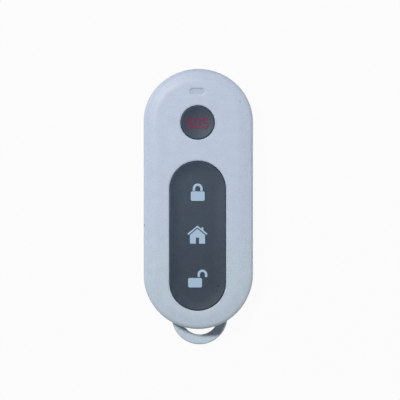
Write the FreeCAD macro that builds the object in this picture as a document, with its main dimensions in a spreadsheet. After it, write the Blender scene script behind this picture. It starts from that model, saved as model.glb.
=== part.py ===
"""Remote key fob: a two-shell casing with a key-ring loop, two keys, four switches and a coin cell.

The fob lies on its back with its keys up (+Z) and the key-ring loop toward -Y.
The origin is the centre of the flat back face. All lengths are millimetres.
"""
import FreeCAD, Part
import math
import os
import re
import Sketcher
from FreeCAD import Rotation, Vector

os.makedirs("parts", exist_ok=True)
doc = FreeCAD.newDocument("KeyFob")

# Driving sizes: each can be set by itself

SIZES = [
    ("body_width", 28.0, "casing across"),
    ("body_length", 66.9, "casing along, without the loop"),
    ("body_thickness", 10.8, "back face to front face"),
    ("parting_height", 4.8, "where the two shells meet"),
    ("top_shoulder_ease", 1.1, "shoulder arc under half the width, key end"),
    ("top_crown_ease", 0.4, "crown arc over half the width, key end"),
    ("bottom_shoulder_ease", 2.9, "shoulder arc under half the width, loop end"),
    ("bottom_crown_ease", 0.03, "crown arc over half the width, loop end"),
    ("wall", 1.4, "side wall of both shells"),
    ("face_thickness", 1.4, "front face"),
    ("floor_thickness", 1.2, "back face"),
    ("crown_width", 3.0, "gentle fall of the front face to its edge, across"),
    ("crown_drop", 0.64, "gentle fall of the front face to its edge, down"),
    ("crown_round", 7.0, "round where the front face starts to fall"),
    ("front_round", 1.4, "round of the front edge"),
    ("rear_round", 2.0, "round of the back edge"),
    ("lip_thickness", 0.6, "lip that locates the shells"),
    ("lip_height", 1.2, "lip above the parting line"),
    ("lip_gap", 0.1, "play round the lip"),
    ("parting_bevel", 0.15, "reveal along the parting line"),
    ("snap_length", 4.0, "snap bead along the side"),
    ("snap_height", 0.4, "snap bead, up"),
    ("snap_rise", 0.45, "bead above the parting line"),
    ("snap_reach", 0.3, "bead beyond the rebate wall"),
    ("snap_inset", 16.3, "first bead pair from the loop end"),
    ("snap_pitch", 19.0, "first bead pair to the second"),
    ("sos_opening", 8.9, "diameter of the round opening"),
    ("sos_inset", 13.85, "round opening's centre from the key end"),
    ("function_opening_width", 14.6, "long opening across"),
    ("opening_spacing", 5.3, "shell between the two openings"),
    ("function_inset", 4.75, "long opening's edge from the loop end"),
    ("opening_bevel", 0.3, "bevel round the openings and the window, across"),
    ("opening_bevel_drop", 0.1, "bevel round the openings and the window, down"),
    ("key_gap", 0.12, "gap all round a key"),
    ("key_thickness", 2.4, "key at its rim"),
    ("key_proud", 0.1, "key rim above the front face"),
    ("key_bevel", 0.2, "bevel of a key's rim"),
    ("key_travel", 0.35, "press of a key"),
    ("sos_dish", 0.35, "depth of the round key's dish"),
    ("function_dish", 0.22, "depth of the long key's dish"),
    ("dish_slope", 3.0, "width of the long dish's slope"),
    ("collar_wall", 0.7, "guide collar round each opening"),
    ("collar_gap", 0.05, "collar above the pad's brim"),
    ("button_shift", 0.9, "outer functions from the centres of the long opening's ends"),
    ("window_inset", 5.9, "light window from the key end"),
    ("window_length", 3.9, "light window across"),
    ("window_width", 1.6, "light window along"),
    ("window_depth", 0.3, "window below the front face"),
    ("window_web", 0.4, "thin web that the light shines through"),
    ("shroud_wall", 0.7, "wall round the light well"),
    ("shroud_gap", 0.25, "shroud above the lamp"),
    ("ring_radius", 7.3, "key-ring loop, outer"),
    ("ring_bore", 4.85, "key-ring hole, radius"),
    ("ring_inset", 2.8, "loop centre inside the casing's end"),
    ("ring_floor", 0.3, "loop above the back face"),
    ("ring_thickness", 2.2, "loop, up"),
    ("ring_bevel", 0.3, "bevel of the loop's edges"),
    ("ring_rise", 0.9, "room for the key ring above the loop"),
    ("pocket_wall", 1.2, "wall and roof of the key-ring pocket"),
    ("screw_inset", 4.8, "screws from the side"),
    ("screw_step", 8.0, "screws beyond the chip"),
    ("rear_boss_radius", 2.3, "boss round the screw, back shell"),
    ("front_boss_radius", 1.9, "boss round the screw, front shell"),
    ("shank_radius", 0.8, "screw shank"),
    ("shank_gap", 0.25, "shank in the back shell and the board"),
    ("pilot_gap", 0.05, "shank in the front boss"),
    ("shank_reach", 2.6, "shank inside the front boss"),
    ("pilot_spare", 0.4, "pilot hole beyond the tip"),
    ("head_radius", 1.7, "screw head"),
    ("head_height", 1.1, "screw head"),
    ("head_gap", 0.15, "head in its counterbore"),
    ("head_sink", 0.5, "head below the back face"),
    ("cross_width", 0.45, "cross slot of the screw"),
    ("cross_depth", 0.55, "cross slot of the screw"),
    ("post_radius", 1.1, "board posts"),
    ("post_inset", 2.8, "board posts inside the round ends"),
    ("post_turn", 36.5, "board posts round the ends, degrees"),
    ("pin_radius", 0.5, "locating pin"),
    ("pin_gap", 0.1, "pin in the board"),
    ("cell_diameter", 20.0, "coin cell"),
    ("cell_thickness", 3.2, "coin cell"),
    ("cell_crimp", 1.3, "rim of the cell's can round its negative cap"),
    ("cell_cap_height", 0.3, "negative cap of the cell"),
    ("cell_bevel", 0.3, "edge of the cell's can"),
    ("cell_spacing", 0.9, "cell from the root of the loop"),
    ("nest_gap", 0.3, "cell in its nest"),
    ("nest_wall", 0.7, "nest round the cell"),
    ("nest_height", 2.8, "nest above the floor"),
    ("strap_width", 5.0, "positive strap"),
    ("strap_sheet", 0.25, "sheet of the positive strap"),
    ("strap_gap", 0.05, "strap above the floor"),
    ("strap_side_gap", 0.6, "strap leg from the cell"),
    ("contact_sheet", 0.2, "negative contact"),
    ("contact_diameter", 9.0, "negative contact"),
    ("board_thickness", 1.0, "circuit board"),
    ("board_gap", 0.25, "board inside the side wall"),
    ("switch_length", 4.0, "switch across"),
    ("switch_width", 3.0, "switch along"),
    ("switch_height", 1.1, "switch body"),
    ("well_radius", 1.2, "well for the snap dome"),
    ("well_floor", 0.3, "under the snap dome"),
    ("dome_gap", 0.05, "dome in its well"),
    ("dome_height", 0.5, "snap dome"),
    ("dome_sheet", 0.08, "sheet of the snap dome"),
    ("plunger_flange_radius", 1.05, "plunger under the cover"),
    ("plunger_radius", 0.75, "plunger stem"),
    ("plunger_gap", 0.03, "plunger to the dome and the cover"),
    ("plunger_rise", 0.45, "plunger above the cover"),
    ("stem_gap", 0.1, "plunger in the cover's hole"),
    ("cover_sheet", 0.12, "sheet of the switch cover"),
    ("cover_fold", 0.7, "folded sides of the cover"),
    ("cover_side_gap", 0.03, "fold beside the switch body"),
    ("brim_reach", 0.5, "pad's brim beyond its opening"),
    ("brim_height", 0.6, "pad's brim"),
    ("island_inset", 0.5, "pad's crown inside the key's edge"),
    ("crown_wall", 0.8, "side wall of the pad's crown"),
    ("crown_roof", 0.4, "roof of the pad's crown"),
    ("pip_radius", 0.9, "pip over a switch"),
    ("pip_gap", 0.05, "pip to its plunger"),
    ("lamp_length", 1.6, "status lamp"),
    ("lamp_width", 0.8, "status lamp"),
    ("lamp_height", 0.7, "status lamp"),
    ("lamp_base", 0.3, "carrier under the lamp's lens"),
    ("aerial_radius", 6.5, "bend of the aerial strip, outer"),
    ("aerial_leg", 4.5, "straight leg of the aerial strip"),
    ("aerial_inset", 11.8, "centre of the aerial's bend from the key end"),
    ("aerial_width", 0.9, "aerial strip across"),
    ("aerial_sheet", 0.3, "sheet of the aerial strip"),
    ("chip_x", -4.6, "encoder chip"),
    ("chip_step", 6.7, "chip's centre beyond the cell's nest"),
    ("chip_length", 4.9, "encoder chip along"),
    ("chip_width", 3.9, "encoder chip across"),
    ("chip_height", 1.4, "encoder chip"),
    ("chip_standoff", 0.1, "chip off the board"),
    ("leg_pitch", 1.27, "spacing of the chip's legs"),
    ("leg_width", 0.4, "chip leg"),
    ("leg_reach", 1.05, "chip leg beyond the body"),
    ("leg_sheet", 0.2, "sheet of the legs"),
    ("leg_height", 0.7, "chip leg, up"),
    ("resonator_x", 4.6, "resonator"),
    ("resonator_size", 5.0, "resonator's side"),
    ("resonator_height", 1.5, "resonator"),
    ("lid_inset", 0.3, "resonator's lid inside its base"),
    ("lid_height", 0.9, "resonator's lid"),
    ("transistor_x", 5.3, "transistor"),
    ("transistor_step", 4.4, "transistor beyond the chip"),
    ("transistor_length", 2.9, "transistor"),
    ("transistor_width", 1.3, "transistor"),
    ("transistor_height", 1.0, "transistor"),
    ("passive_length", 1.6, "resistors and capacitors"),
    ("passive_width", 0.8, "resistors and capacitors"),
    ("resistor_height", 0.45, "resistors"),
    ("capacitor_height", 0.75, "capacitors"),
    ("passive_pitch", 1.9, "spacing in a row"),
    ("resistor_step", 6.8, "row of resistors beyond the chip"),
    ("capacitor_step", 10.0, "row of capacitors beyond the chip"),
]

# Fits: levels and sizes that follow from the driving ones

FITS = [
    ("half_width", "body_width / 2"),
    ("half_length", "body_length / 2"),
    ("ceiling", "body_thickness - face_thickness"),
    ("inner_front_bevel", "(crown_drop + front_round) / 2"),
    ("inner_rear_bevel", "rear_round * 0.3"),
    ("rebate_inset", "wall - lip_thickness - lip_gap"),
    ("lip_inset", "wall - lip_thickness"),
    ("strap_floor", "floor_thickness + strap_gap"),
    ("cell_floor", "strap_floor + strap_sheet"),
    ("cell_top", "cell_floor + cell_thickness"),
    ("board_floor", "cell_top + contact_sheet"),
    ("board_top", "board_floor + board_thickness"),
    ("board_inset", "wall + board_gap"),
    ("cover_top", "board_top + switch_height + cover_sheet"),
    ("plunger_top", "cover_top + plunger_rise"),
    ("plunger_floor", "well_floor + dome_height + plunger_gap"),
    ("plunger_flange_top", "switch_height - plunger_gap"),
    ("key_floor", "body_thickness + key_proud - key_thickness"),
    ("pad_height", "key_floor - board_top"),
    ("pad_roof", "pad_height - crown_roof"),
    ("centre_pip", "plunger_top + pip_gap - board_top"),
    ("end_pip", "plunger_top + pip_gap + key_travel - board_top"),
    ("collar_floor", "board_top + brim_height + collar_gap"),
    ("sos_y", "half_length - sos_inset"),
    ("sos_key_radius", "sos_opening / 2 - key_gap"),
    ("function_opening_length",
     "body_length - sos_inset - sos_opening / 2 - opening_spacing - function_inset"),
    ("function_y", "function_inset + function_opening_length / 2 - half_length"),
    ("function_key_width", "function_opening_width - 2 * key_gap"),
    ("function_key_length", "function_opening_length - 2 * key_gap"),
    ("key_straight", "function_opening_length - function_opening_width"),
    ("button_pitch", "key_straight / 2 - button_shift"),
    ("lamp_top", "board_top + lamp_height"),
    ("well_top", "body_thickness - window_depth - window_web"),
    ("window_y", "half_length - window_inset"),
    ("snap_low_y", "snap_inset - half_length"),
    ("snap_high_y", "snap_low_y + snap_pitch"),
    ("screw_x", "half_width - screw_inset"),
    ("post_x", "(half_width - post_inset) * cos(post_turn)"),
    ("post_y", "half_length - half_width + (half_width - post_inset) * sin(post_turn)"),
    ("ring_y", "ring_inset - half_length"),
    ("ring_top", "ring_floor + ring_thickness"),
    ("pocket_top", "ring_top + ring_rise"),
    ("head_seat", "head_sink + head_height"),
    ("shank_tip", "board_top + shank_reach"),
    ("cell_radius", "cell_diameter / 2"),
    ("nest_radius", "cell_radius + nest_gap"),
    ("strap_half", "cell_radius + strap_side_gap"),
    ("cell_cap_radius", "cell_radius - cell_crimp"),
    ("cell_y", "ring_y + ring_radius + cell_spacing + cell_radius"),
    ("chip_y", "cell_y + nest_radius + nest_wall + chip_step"),
    ("screw_y", "chip_y + screw_step"),
    ("transistor_y", "chip_y + transistor_step"),
    ("resistor_y", "chip_y + resistor_step"),
    ("capacitor_y", "chip_y + capacitor_step"),
    ("aerial_y", "half_length - aerial_inset"),
]


def make_sheet(name, rows):
    """A sheet with one alias for each row."""
    sheet = doc.addObject("Spreadsheet::Sheet", name)
    for number, row in enumerate(rows, start=1):
        sheet.set(f"A{number}", row[0])
        sheet.set(f"B{number}", str(row[1]))
        sheet.setAlias(f"B{number}", row[0])
        if len(row) > 2:
            sheet.set(f"C{number}", row[2])
    doc.recompute()
    return sheet


HOME = {row[0]: "Sizes" for row in SIZES}
HOME.update({row[0]: "Fits" for row in FITS})


def formula(text):
    """The expression with each size's name led by its sheet."""
    return re.sub(r"[a-z_]+", lambda word: f"{HOME[word[0]]}.{word[0]}" if word[0] in HOME else word[0],
                  str(text))


sizes = make_sheet("Sizes", SIZES)
fits = make_sheet("Fits", [(name, "=" + formula(text)) for name, text in FITS])


def value(text):
    """What an expression comes to, in millimetres."""
    return float(sizes.evalExpression(formula(text)))


def bind(thing, prop, text):
    """Tie a property to the sheets."""
    thing.setExpression(prop, formula(text))


# Sketch helpers: each outline is drawn about the sketch's own origin

class Outline:
    """A sketch in a body, on one of its origin planes."""

    def __init__(self, body, name, plane="XY_Plane", at=("0", "0", "0")):
        self.sketch = body.newObject("Sketcher::SketchObject", name)
        base = next(item for item in body.Origin.OriginFeatures if item.Role == plane)
        self.sketch.AttachmentSupport = [(base, "")]
        self.sketch.MapMode = "FlatFace"
        for axis, text in zip("xyz", at):
            bind(self.sketch, f"AttachmentOffset.Base.{axis}", text)

    def add(self, shape):
        return self.sketch.addGeometry(shape, False)

    def hold(self, *rule):
        return self.sketch.addConstraint(Sketcher.Constraint(*rule))

    def size(self, text, *rule):
        """A dimension bound to an expression."""
        index = self.hold(*rule, value(text))
        self.sketch.setExpression(f"Constraints[{index}]", formula(text))

    def circle(self, radius):
        ring = self.add(Part.Circle(Vector(0, 0, 0), Vector(0, 0, 1), value(radius)))
        self.hold("Coincident", ring, 3, -1, 1)
        self.size(radius, "Radius", ring)
        return self

    def rectangle(self, across, along):
        x, y = value(across) / 2, value(along) / 2
        corners = [Vector(-x, -y, 0), Vector(x, -y, 0), Vector(x, y, 0), Vector(-x, y, 0)]
        sides = [self.add(Part.LineSegment(corners[i], corners[(i + 1) % 4])) for i in range(4)]
        for i in range(4):
            self.hold("Coincident", sides[i], 2, sides[(i + 1) % 4], 1)
            self.hold("Horizontal" if i % 2 == 0 else "Vertical", sides[i])
        self.hold("Symmetric", sides[0], 1, sides[2], 1, -1, 1)
        self.size(across, "DistanceX", sides[0], 1, sides[0], 2)
        self.size(along, "DistanceY", sides[1], 1, sides[1], 2)
        return self

    def slot(self, length, width):
        """An obround along the sketch's Y axis."""
        radius = value(width) / 2
        reach = value(length) / 2 - radius
        up = Vector(0, 0, 1)
        top = self.add(Part.ArcOfCircle(Part.Circle(Vector(0, reach, 0), up, radius), 0, math.pi))
        left = self.add(Part.LineSegment(Vector(-radius, reach, 0), Vector(-radius, -reach, 0)))
        low_circle = Part.Circle(Vector(0, -reach, 0), up, radius)
        low = self.add(Part.ArcOfCircle(low_circle, math.pi, 2 * math.pi))
        right = self.add(Part.LineSegment(Vector(radius, -reach, 0), Vector(radius, reach, 0)))
        ring = [top, left, low, right]
        for i in range(4):
            self.hold("Tangent", ring[i], 2, ring[(i + 1) % 4], 1)
        self.hold("Vertical", left)
        self.hold("Vertical", right)
        self.hold("Symmetric", top, 3, low, 3, -1, 1)
        self.size(f"({width}) / 2", "Radius", top)
        self.size(f"({length}) - ({width})", "DistanceY", low, 3, top, 3)
        return self

    def casing(self, inset="0"):
        """The fob's outline, set in by a wall: two sides and a three-arc arch at each end."""
        half = value(f"half_width - ({inset})")
        arches = []
        for end, sign in (("top", 1), ("bottom", -1)):
            shoulder = value(f"half_width - {end}_shoulder_ease - ({inset})")
            crown = value(f"half_width + {end}_crown_ease - ({inset})")
            crown_y = sign * (value(f"half_length - ({inset})") - crown)
            offset = half - shoulder
            drop = math.sqrt((crown - shoulder) ** 2 - offset ** 2)
            turn = math.atan2(drop, offset)
            arches.append((shoulder, crown, crown_y, offset, crown_y + sign * drop, turn))
        (s_top, c_top, cy_top, o_top, sy_top, a_top), (s_low, c_low, cy_low, o_low, sy_low, a_low) = arches

        def arc(x, y, radius, start, stop):
            circle = Part.Circle(Vector(x, y, 0), Vector(0, 0, 1), radius)
            return self.add(Part.ArcOfCircle(circle, start, stop))

        pi = math.pi
        right = self.add(Part.LineSegment(Vector(half, sy_low, 0), Vector(half, sy_top, 0)))
        top_right = arc(o_top, sy_top, s_top, 0, a_top)
        top = arc(0, cy_top, c_top, a_top, pi - a_top)
        top_left = arc(-o_top, sy_top, s_top, pi - a_top, pi)
        left = self.add(Part.LineSegment(Vector(-half, sy_top, 0), Vector(-half, sy_low, 0)))
        low_left = arc(-o_low, sy_low, s_low, pi, pi + a_low)
        low = arc(0, cy_low, c_low, pi + a_low, 2 * pi - a_low)
        low_right = arc(o_low, sy_low, s_low, 2 * pi - a_low, 2 * pi)
        ring = [right, top_right, top, top_left, left, low_left, low, low_right]
        for i in range(8):
            self.hold("Tangent", ring[i], 2, ring[(i + 1) % 8], 1)
        self.hold("Vertical", right)
        self.hold("Vertical", left)
        for crown in (top, low):
            self.hold("PointOnObject", crown, 3, -2)
        self.hold("Equal", top_right, top_left)
        self.hold("Equal", low_right, low_left)
        self.size(f"half_width - ({inset})", "DistanceX", -1, 1, right, 1)
        self.size(f"half_width - ({inset})", "DistanceX", left, 1, -1, 1)
        for end, shoulder, crown in (("top", top_right, top), ("bottom", low_right, low)):
            self.size(f"half_width - {end}_shoulder_ease - ({inset})", "Radius", shoulder)
            self.size(f"half_width + {end}_crown_ease - ({inset})", "Radius", crown)
        self.size("half_length - half_width - top_crown_ease", "DistanceY", -1, 1, top, 3)
        self.size("half_length - half_width - bottom_crown_ease", "DistanceY", low, 3, -1, 1)
        return self

    def profile(self, path):
        """A closed section: each row is a corner, and the radius of the arc to the next or None."""
        points = [Vector(value(x), value(y), 0) for x, y, _ in path]
        count = len(path)
        lines = []
        for i, (_, _, radius) in enumerate(path):
            start, stop = points[i], points[(i + 1) % count]
            if radius is None:
                lines.append(self.add(Part.LineSegment(start, stop)))
            else:
                chord = stop - start
                size = abs(value(radius))
                side = 1 if value(radius) > 0 else -1
                rise = size - math.sqrt(size ** 2 - (chord.Length / 2) ** 2)
                across = Vector(chord.y, -chord.x, 0).normalize() * side * rise
                lines.append(self.add(Part.Arc(start, (start + stop) * 0.5 + across, stop).copy()))
        return self.tie(path, lines)

    def tie(self, path, lines):
        """Bind the corners and arcs of a section."""
        count = len(path)
        ends = [self.ends(line, path, i) for i, line in enumerate(lines)]
        for i in range(count):
            self.hold("Coincident", lines[i], ends[i][1], lines[(i + 1) % count], ends[(i + 1) % count][0])
        for i, (x, y, radius) in enumerate(path):
            for text, rule in ((x, "DistanceX"), (y, "DistanceY")):
                if value(text) >= 0:
                    self.size(text, rule, -1, 1, lines[i], ends[i][0])
                else:
                    self.size(f"-({text})", rule, lines[i], ends[i][0], -1, 1)
            if radius is not None:
                self.size(f"abs({radius})", "Radius", lines[i])
        return self

    def ends(self, line, path, i):
        """Which end of a drawn line is the section's corner: arcs always run anticlockwise."""
        start = self.sketch.getPoint(line, 1)
        corner = Vector(value(path[i][0]), value(path[i][1]), 0)
        return (1, 2) if start.distanceToPoint(corner) < 1e-6 else (2, 1)


# Feature helpers

def settle(body, feature):
    """Work out a new feature and the body that it ends."""
    doc.recompute([feature, body])
    return feature


def new_body(label, at=("0", "0", "0")):
    body = doc.addObject("PartDesign::Body", label)
    body.Label = label
    for axis, text in zip("xyz", at):
        bind(body, f"Placement.Base.{axis}", text)
    return body


def grow(body, outline, length, down=False):
    """Pad an outline."""
    pad = body.newObject("PartDesign::Pad", "Pad")
    pad.Profile = outline.sketch
    bind(pad, "Length", length)
    pad.Reversed = down
    return settle(body, pad)


def grow_both(body, outline, length):
    """Pad an outline to both sides of its plane."""
    pad = body.newObject("PartDesign::Pad", "Pad")
    pad.Profile = outline.sketch
    pad.Midplane = True
    bind(pad, "Length", length)
    return settle(body, pad)


def cut(body, outline, depth, up=False, both=False):
    """Pocket an outline, and make sure that it removed something."""
    before = body.Shape.Volume
    pocket = body.newObject("PartDesign::Pocket", "Pocket")
    pocket.Profile = outline.sketch
    bind(pocket, "Length", depth)
    pocket.Reversed = up
    pocket.Midplane = both
    settle(body, pocket)
    if not body.Shape.Volume < before - 1e-6:
        raise ValueError(f"{body.Label}: {outline.sketch.Name} cuts nothing")
    return pocket


def turn(body, outline, removing=False):
    """Revolve a section about the sketch's vertical axis."""
    before = body.Shape.Volume if removing else 0
    spin = body.newObject("PartDesign::Groove" if removing else "PartDesign::Revolution", "Turned")
    spin.Profile = outline.sketch
    spin.ReferenceAxis = (outline.sketch, ["V_Axis"])
    settle(body, spin)
    if removing and not body.Shape.Volume < before - 1e-6:
        raise ValueError(f"{body.Label}: {outline.sketch.Name} cuts nothing")
    return spin


def rim(feature, height, inside=False):
    """Edges round the largest flat face at a height, or round the holes in it."""
    level = value(height)
    flats = [face for face in feature.Shape.Faces
             if abs(face.BoundBox.ZMin - level) < 1e-4 and abs(face.BoundBox.ZMax - level) < 1e-4]
    face = max(flats, key=lambda item: item.Area)
    outer = face.OuterWire
    wires = [wire for wire in face.Wires if wire.isSame(outer) != inside]
    wanted = [edge for wire in wires for edge in wire.Edges]
    return [f"Edge{number}" for number, edge in enumerate(feature.Shape.Edges, start=1)
            if any(edge.isSame(other) for other in wanted)]


def level_edges(feature, height):
    """Edges that lie at a height."""
    level = value(height)
    return [f"Edge{number}" for number, edge in enumerate(feature.Shape.Edges, start=1)
            if abs(edge.BoundBox.ZMin - level) < 1e-4 and abs(edge.BoundBox.ZMax - level) < 1e-4]


def slant(body, feature, edges, across, down, flip=False):
    """Bevel the named edges of a level face by one size across and another down."""
    blend = body.newObject("PartDesign::Chamfer", "Slant")
    blend.Base = (feature, edges)
    blend.ChamferType = "Two distances"
    blend.FlipDirection = flip
    bind(blend, "Size", across)
    bind(blend, "Size2", down)
    return settle(body, blend)


def ease(body, feature, edges, radius, bevel=False):
    """Round or bevel the named edges."""
    kind = "Chamfer" if bevel else "Fillet"
    blend = body.newObject(f"PartDesign::{kind}", kind)
    blend.Base = (feature, edges)
    bind(blend, "Size" if bevel else "Radius", radius)
    return settle(body, blend)


# Casing

def make_front_shell():
    body = new_body("front_shell")
    depth = "body_thickness - parting_height"
    shell = grow(body, Outline(body, "FrontOutline", at=("0", "0", "parting_height")).casing(), depth)
    shell = slant(body, shell, rim(shell, "body_thickness"), "crown_width", "crown_drop", flip=True)
    shell = ease(body, shell, level_edges(shell, "body_thickness - crown_drop"), "front_round")
    shell = ease(body, shell, rim(shell, "body_thickness"), "crown_round")
    shell = cut(body, Outline(body, "Cavity", at=("0", "0", "parting_height")).casing("wall"),
                "ceiling - parting_height", up=True)
    shell = ease(body, shell, rim(shell, "ceiling"), "inner_front_bevel", bevel=True)
    shell = cut(body, Outline(body, "Rebate", at=("0", "0", "parting_height")).casing("rebate_inset"),
                "lip_height + lip_gap", up=True)
    ease(body, shell, rim(shell, "parting_height"), "parting_bevel", bevel=True)
    for side in ("-", ""):
        for place in ("snap_low_y", "snap_high_y"):
            bead_x = f"{side}(half_width - rebate_inset - snap_reach / 2 + lip_gap / 2)"
            bead = Outline(body, "Bead", at=(bead_x, place, "parting_height + snap_rise"))
            grow(body, bead.rectangle("snap_reach + lip_gap", "snap_length"), "snap_height")
        boss_at = (f"{side}screw_x", "screw_y", "board_top")
        grow(body, Outline(body, "Boss", at=boss_at).circle("front_boss_radius"),
             "ceiling - board_top + face_thickness / 4")
        cut(body, Outline(body, "Pilot", at=boss_at).circle("shank_radius + pilot_gap"),
            "shank_reach + pilot_spare", up=True)
    collar_height = "ceiling - collar_floor + face_thickness / 4"
    collar = Outline(body, "SosCollar", at=("0", "sos_y", "collar_floor"))
    grow(body, collar.circle("sos_opening / 2 + collar_wall"), collar_height)
    collar = Outline(body, "FunctionCollar", at=("0", "function_y", "collar_floor"))
    grow(body, collar.slot("function_opening_length + 2 * collar_wall",
                           "function_opening_width + 2 * collar_wall"), collar_height)
    shroud = sideways(Outline(body, "Shroud", at=("0", "window_y", "lamp_top + shroud_gap")))
    grow(body, shroud.slot("window_length + 2 * shroud_wall", "window_width + 2 * shroud_wall"),
         "ceiling - lamp_top - shroud_gap + face_thickness / 4")
    opening = Outline(body, "SosOpening", at=("0", "sos_y", "parting_height"))
    cut(body, opening.circle("sos_opening / 2"), depth, up=True)
    opening = Outline(body, "FunctionOpening", at=("0", "function_y", "parting_height"))
    cut(body, opening.slot("function_opening_length", "function_opening_width"), depth, up=True)
    well = Outline(body, "LightWell", at=("0", "window_y", "parting_height"))
    cut(body, sideways(well).slot("window_length", "window_width"), "well_top - parting_height", up=True)
    window = Outline(body, "Window", at=("0", "window_y", "body_thickness"))
    shell = cut(body, sideways(window).slot("window_length", "window_width"), "window_depth")
    slant(body, shell, rim(shell, "body_thickness", inside=True), "opening_bevel", "opening_bevel_drop")
    return body


def sideways(outline):
    """Turn an outline a quarter, so that a slot lies across the casing."""
    outline.sketch.AttachmentOffset.Rotation = Rotation(Vector(0, 0, 1), 90)
    return outline


def make_rear_shell():
    body = new_body("rear_shell")
    shell = grow(body, Outline(body, "RearOutline").casing(), "parting_height")
    shell = ease(body, shell, rim(shell, "0"), "rear_round")
    shell = cut(body, Outline(body, "Cavity", at=("0", "0", "floor_thickness")).casing("wall"),
                "parting_height - floor_thickness", up=True)
    shell = ease(body, shell, rim(shell, "floor_thickness"), "inner_rear_bevel", bevel=True)
    ease(body, shell, rim(shell, "parting_height"), "parting_bevel", bevel=True)
    nest = Outline(body, "Nest", at=("0", "cell_y", "floor_thickness / 2"))
    nest.circle("nest_radius").circle("nest_radius + nest_wall")
    grow(body, nest, "nest_height + floor_thickness / 2")
    across, along = "2 * (nest_radius + nest_wall)", "strap_width + 4 * nest_gap"
    for gate_size in ((across, along), (along, across)):
        gate = Outline(body, "NestGate", at=("0", "cell_y", "floor_thickness"))
        cut(body, gate.rectangle(*gate_size), "nest_height", up=True)
    pocket = Outline(body, "PocketWall", at=("0", "ring_y", "floor_thickness"))
    grow(body, pocket.circle("ring_bore + pocket_wall"), "pocket_top + pocket_wall - floor_thickness")
    outside = Outline(body, "Outside", at=("0", "0", "ring_top")).casing().circle("body_length")
    cut(body, outside, "parting_height", up=True)
    loop = Outline(body, "Loop", plane="XZ_Plane", at=("0", "0", "-(ring_y)"))
    turn(body, loop.profile([
        ("0", "ring_floor", None),
        ("ring_radius - ring_bevel", "ring_floor", None),
        ("ring_radius", "ring_floor + ring_bevel", None),
        ("ring_radius", "ring_top - ring_bevel", None),
        ("ring_radius - ring_bevel", "ring_top", None),
        ("0", "ring_top", None)]))
    cut(body, Outline(body, "RingHole", at=("0", "ring_y", "0")).circle("ring_bore"), "pocket_top", up=True)
    lip = Outline(body, "Lip", at=("0", "0", "parting_height")).casing("lip_inset").casing("wall")
    grow(body, lip, "lip_height")
    for place in ("snap_low_y", "snap_high_y"):
        slit = Outline(body, "SnapSlit", at=("0", place, "parting_height + snap_rise - lip_gap"))
        cut(body, slit.rectangle("body_width", "snap_length + 4 * lip_gap"),
            "snap_height + 2 * lip_gap", up=True)
    for side in ("-", ""):
        boss = Outline(body, "Boss", at=(f"{side}screw_x", "screw_y", "floor_thickness / 2"))
        grow(body, boss.circle("rear_boss_radius"), "board_floor - floor_thickness / 2")
        bore = Outline(body, "ScrewBore", at=(f"{side}screw_x", "screw_y", "0"))
        cut(body, bore.circle("shank_radius + shank_gap"), "board_floor", up=True)
        sink = Outline(body, "Counterbore", at=(f"{side}screw_x", "screw_y", "0"))
        cut(body, sink.circle("head_radius + head_gap"), "head_seat", up=True)
        for place in ("post_y", "-(post_y)"):
            post = Outline(body, "Post", at=(f"{side}post_x", place, "floor_thickness / 2"))
            grow(body, post.circle("post_radius"), "board_floor - floor_thickness / 2")
        pin = Outline(body, "Pin", at=(f"{side}post_x", "-(post_y)", "board_floor - post_radius / 2"))
        grow(body, pin.circle("pin_radius"), "board_thickness + post_radius / 2")
    return body


# Keys and their silicone pads

def make_sos_key():
    body = new_body("sos_key", at=("0", "sos_y", "key_floor"))
    dish_radius = "(((sos_key_radius - key_bevel) ^ 2 + sos_dish ^ 2) / (2 * sos_dish))"
    section = Outline(body, "Section", plane="XZ_Plane")
    turn(body, section.profile([
        ("0", "0", None),
        ("sos_key_radius", "0", None),
        ("sos_key_radius", "key_thickness - key_bevel", None),
        ("sos_key_radius - key_bevel", "key_thickness", f"-{dish_radius}"),
        ("0", "key_thickness - sos_dish", None)]))
    return body


def make_function_key():
    body = new_body("function_key", at=("0", "function_y", "key_floor"))
    key = grow(body, Outline(body, "Plan").slot("function_key_length", "function_key_width"), "key_thickness")
    ease(body, key, rim(key, "key_thickness"), "key_bevel", bevel=True)
    half = "(function_key_width / 2 - key_bevel)"
    slope_radius = "((dish_slope ^ 2 + function_dish ^ 2) / (2 * function_dish))"
    trough = [
        (f"-{half}", "key_thickness + key_bevel", None),
        (f"-{half}", "key_thickness", slope_radius),
        (f"dish_slope - {half}", "key_thickness - function_dish", None),
        (f"{half} - dish_slope", "key_thickness - function_dish", slope_radius),
        (half, "key_thickness", None),
        (half, "key_thickness + key_bevel", None)]
    cut(body, Outline(body, "Trough", plane="XZ_Plane").profile(trough), "key_straight", both=True)
    for side in ("-", ""):
        bowl = Outline(body, "Bowl", plane="XZ_Plane", at=("0", "0", f"{side}key_straight / 2"))
        turn(body, bowl.profile([("0", "key_thickness - function_dish", None)] + trough[3:]
                                + [("0", "key_thickness + key_bevel", None)]), removing=True)
    return body


def make_sos_pad():
    body = new_body("sos_pad", at=("0", "sos_y", "board_top"))
    grow(body, Outline(body, "Brim").circle("sos_opening / 2 + brim_reach"), "brim_height")
    grow(body, Outline(body, "Crown").circle("sos_key_radius - island_inset"), "pad_height")
    cut(body, Outline(body, "Hollow").circle("sos_key_radius - island_inset - crown_wall"),
        "pad_roof", up=True)
    grow(body, Outline(body, "Pip", at=("0", "0", "centre_pip")).circle("pip_radius"),
         "pad_height - centre_pip - crown_roof / 2")
    return body


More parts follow.
